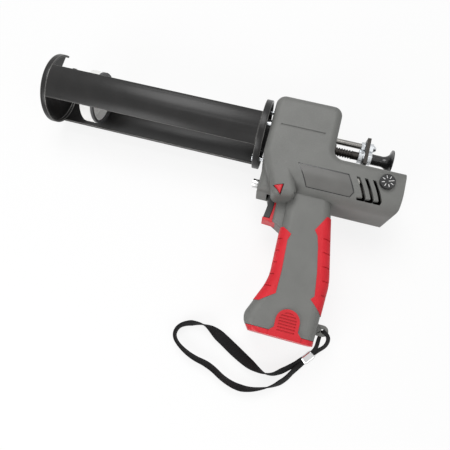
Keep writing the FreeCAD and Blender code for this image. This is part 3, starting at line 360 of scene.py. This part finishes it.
def floor():
    """A pale table top, lifted towards white where it is seen, that keeps the object's soft shadow."""
    mesh = bpy.data.meshes.new("floor")
    signs = ((-1, -1), (1, -1), (1, 1), (-1, 1))
    corners = [(x * FLOOR_REACH, y * FLOOR_REACH, FLOOR_HEIGHT) for x, y in signs]
    mesh.from_pydata(corners, [], [(0, 1, 2, 3)])
    item = bpy.data.objects.new("floor", mesh)
    bpy.context.collection.objects.link(item)
    surface, tree, shader = material("floor")
    shader.inputs["Base Color"].default_value = FLOOR_COLOUR
    shader.inputs["Roughness"].default_value = FLOOR_ROUGH
    shader.inputs["Specular IOR Level"].default_value = FLOOR_SPECULAR
    white = tree.nodes.new("ShaderNodeEmission")
    white.inputs["Strength"].default_value = 1.0
    mix = tree.nodes.new("ShaderNodeMixShader")
    tree.links.new(seen(tree, FLOOR_LIFT), mix.inputs["Fac"])
    tree.links.new(shader.outputs["BSDF"], mix.inputs[1])
    tree.links.new(white.outputs["Emission"], mix.inputs[2])
    tree.links.new(mix.outputs["Shader"], tree.nodes["Material Output"].inputs["Surface"])
    mesh.materials.append(surface)


def lamp(name, place, size, power):
    """A round lamp that shines on the object."""
    data = bpy.data.lights.new(name, "AREA")
    data.shape = "DISK"
    data.size = size
    data.energy = power
    item = bpy.data.objects.new(name, data)
    item.location = place
    item.rotation_euler = (LAMP_TARGET - place).to_track_quat("-Z", "Y").to_euler()
    bpy.context.collection.objects.link(item)


def lights():
    """A world that is white where it is seen but shines less, and the lamps."""
    world = bpy.data.worlds.new("world")
    world.use_nodes = True
    tree = world.node_tree
    background = tree.nodes["Background"]
    background.inputs["Color"].default_value = (1, 1, 1, 1)
    strength = tree.nodes.new("ShaderNodeMath")
    strength.operation = "ADD"
    strength.inputs[0].default_value = WORLD_LIGHT
    tree.links.new(seen(tree, 1 - WORLD_LIGHT), strength.inputs[1])
    tree.links.new(strength.outputs["Value"], background.inputs["Strength"])
    bpy.context.scene.world = world
    for name, (place, size, power) in LAMPS.items():
        lamp(name, place, size, power)


def route_points(route):
    """Points read from the smooth spline along a route in millimetres."""
    curve = bpy.data.curves.new("route", "CURVE")
    curve.dimensions = "3D"
    curve.resolution_u = ROUTE_STEPS
    spline = curve.splines.new("NURBS")
    spline.points.add(len(route) - 1)
    for point, (x, y, z, *_) in zip(spline.points, route):
        point.co = (x * MM, y * MM, z * MM, 1)
    spline.order_u = 3
    spline.use_endpoint_u = True
    item = bpy.data.objects.new("route", curve)
    bpy.context.collection.objects.link(item)
    mesh = bpy.data.meshes.new_from_object(item)
    points = [vertex.co.copy() for vertex in mesh.vertices]
    bpy.data.objects.remove(item)
    return points


def new_mesh(name, corners, faces, surface, smooth):
    """A mesh object of one material."""
    mesh = bpy.data.meshes.new(name)
    mesh.from_pydata(corners, [], faces)
    mesh.polygons.foreach_set("use_smooth", [smooth] * len(mesh.polygons))
    mesh.materials.append(MATERIALS[surface])
    item = bpy.data.objects.new(name, mesh)
    bpy.context.collection.objects.link(item)
    return item


def band_section(wide):
    """Corners of the strap's section, across and through, with soft edges and a thinner middle."""
    half, thick, lip = wide / 2, STRAP_THICK / 2, STRAP_THICK / 3
    middle = thick * MIDDLE_THICK_SHARE
    return [(-half, -lip), (-half + lip, -thick), (0, -middle), (half - lip, -thick), (half, -lip),
            (half, lip), (half - lip, thick), (0, middle), (-half + lip, thick), (-half, lip)]


def between(values, share):
    """A value a share of the way along a list."""
    place = share * (len(values) - 1)
    first = min(int(place), len(values) - 2)
    return values[first] + (values[first + 1] - values[first]) * (place - first)


def strap():
    """The wrist strap: one woven band that turns over along its way and closes in its ferrule."""
    points = route_points(STRAP_ROUTE)
    tilts = [tilt for *_, tilt, _ in STRAP_ROUTE]
    widths = [width * MM for *_, width in STRAP_ROUTE]
    last_point = len(points) - 1
    corners, faces = [], []
    for index, point in enumerate(points):
        along = (points[min(index + 1, last_point)] - points[max(index - 1, 0)]).normalized()
        level = UP.cross(along).normalized()
        share = index / last_point
        tilt = between(tilts, share)
        section = band_section(between(widths, share))
        across = level * math.cos(tilt) + along.cross(level) * -math.sin(tilt)
        through = along.cross(across)
        corners += [point + across * wide + through * deep for wide, deep in section]
    count = len(section)
    for ring in range(last_point):
        for step in range(count):
            first, after = ring * count + step, ring * count + (step + 1) % count
            faces.append((first, after, after + count, first + count))
    faces.append(tuple(range(count))[::-1])
    faces.append(tuple(range(len(corners) - count, len(corners))))
    band = new_mesh("wrist_strap", corners, faces, "black_webbing", True)
    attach(band, "tool")
    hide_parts("strap_loop", "strap_tail")


def add_bar(corners, faces, base, up, bottom, top):
    """Add a closed bar between two heights over a base, four corners that run anticlockwise from above."""
    first = len(corners)
    for height in (bottom, top):
        corners += [corner + up * height for corner in base]
    for face in BAR_FACES:
        faces.append(tuple(first + corner for corner in face))


def dial_marks():
    """White ticks round the speed dial, thin raised bars, of which the pointer is the longest."""
    low, high = (Vector(corner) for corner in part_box("speed_dial"))
    middle = Vector(((low.x + high.x) / 2, (low.y + high.y) / 2, high.z))
    radius = (high.x - low.x) / 2
    corners, faces = [], []
    for index in range(TICK_COUNT):
        turn = math.radians(360 / TICK_COUNT * index + POINTER_TURN)
        along = Vector((math.cos(turn), math.sin(turn), 0))
        side = UP.cross(along) * TICK_HALF_WIDTH
        inner = middle + along * radius * (POINTER_START if index == 0 else TICK_START)
        outer = middle + along * radius * TICK_END
        base = (inner - side, outer - side, outer + side, inner + side)
        add_bar(corners, faces, base, UP, TICK_BOTTOM, TICK_TOP)
    marks = new_mesh("dial_marks", corners, faces, "white_plastic", False)
    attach(marks, "dial")


def edge_normals(mesh):
    """The normals of the faces at each edge, found by the edge's ends since the faces are not joined."""
    normals = {}
    for face in mesh.polygons:
        for edge in face.edge_keys:
            ends = frozenset(mesh.vertices[index].co.to_tuple(MICRON_DIGITS) for index in edge)
            normals.setdefault(ends, []).append(face.normal.copy())
    return normals


def label_border():
    """The thin dark line round the bare label: bars just inside the rim of its face."""
    plate = NODES["rating_plate"]
    middle = sum((Vector(corner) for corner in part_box("rating_plate")), Vector()) / 2
    corners, faces = [], []
    for ends, normals in edge_normals(plate.data).items():
        low = min(normals, key=lambda normal: normal.z)
        high = max(normals, key=lambda normal: normal.z)
        if low.z > SIDE_MOST_UP or high.z < FACE_LEAST_UP or len(ends) < 2:
            continue
        start, end = (plate.matrix_world @ Vector(point) for point in ends)
        if high.cross(end - start).dot(middle - start) < 0:
            start, end = end, start
        inward = high.cross(end - start).normalized()
        outer, inner = inward * LINE_OUTER, inward * LINE_INNER
        base = (start + outer, end + outer, end + inner, start + inner)
        add_bar(corners, faces, base, high, LINE_BOTTOM, LINE_TOP)
    border = new_mesh("label_border", corners, faces, "black_plastic", False)
    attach(border, "tool")


camera()
strap()
dress_nodes()
soften_edges()
dial_marks()
label_border()
floor()
lights()
bpy.context.scene.view_settings.view_transform = "Standard"
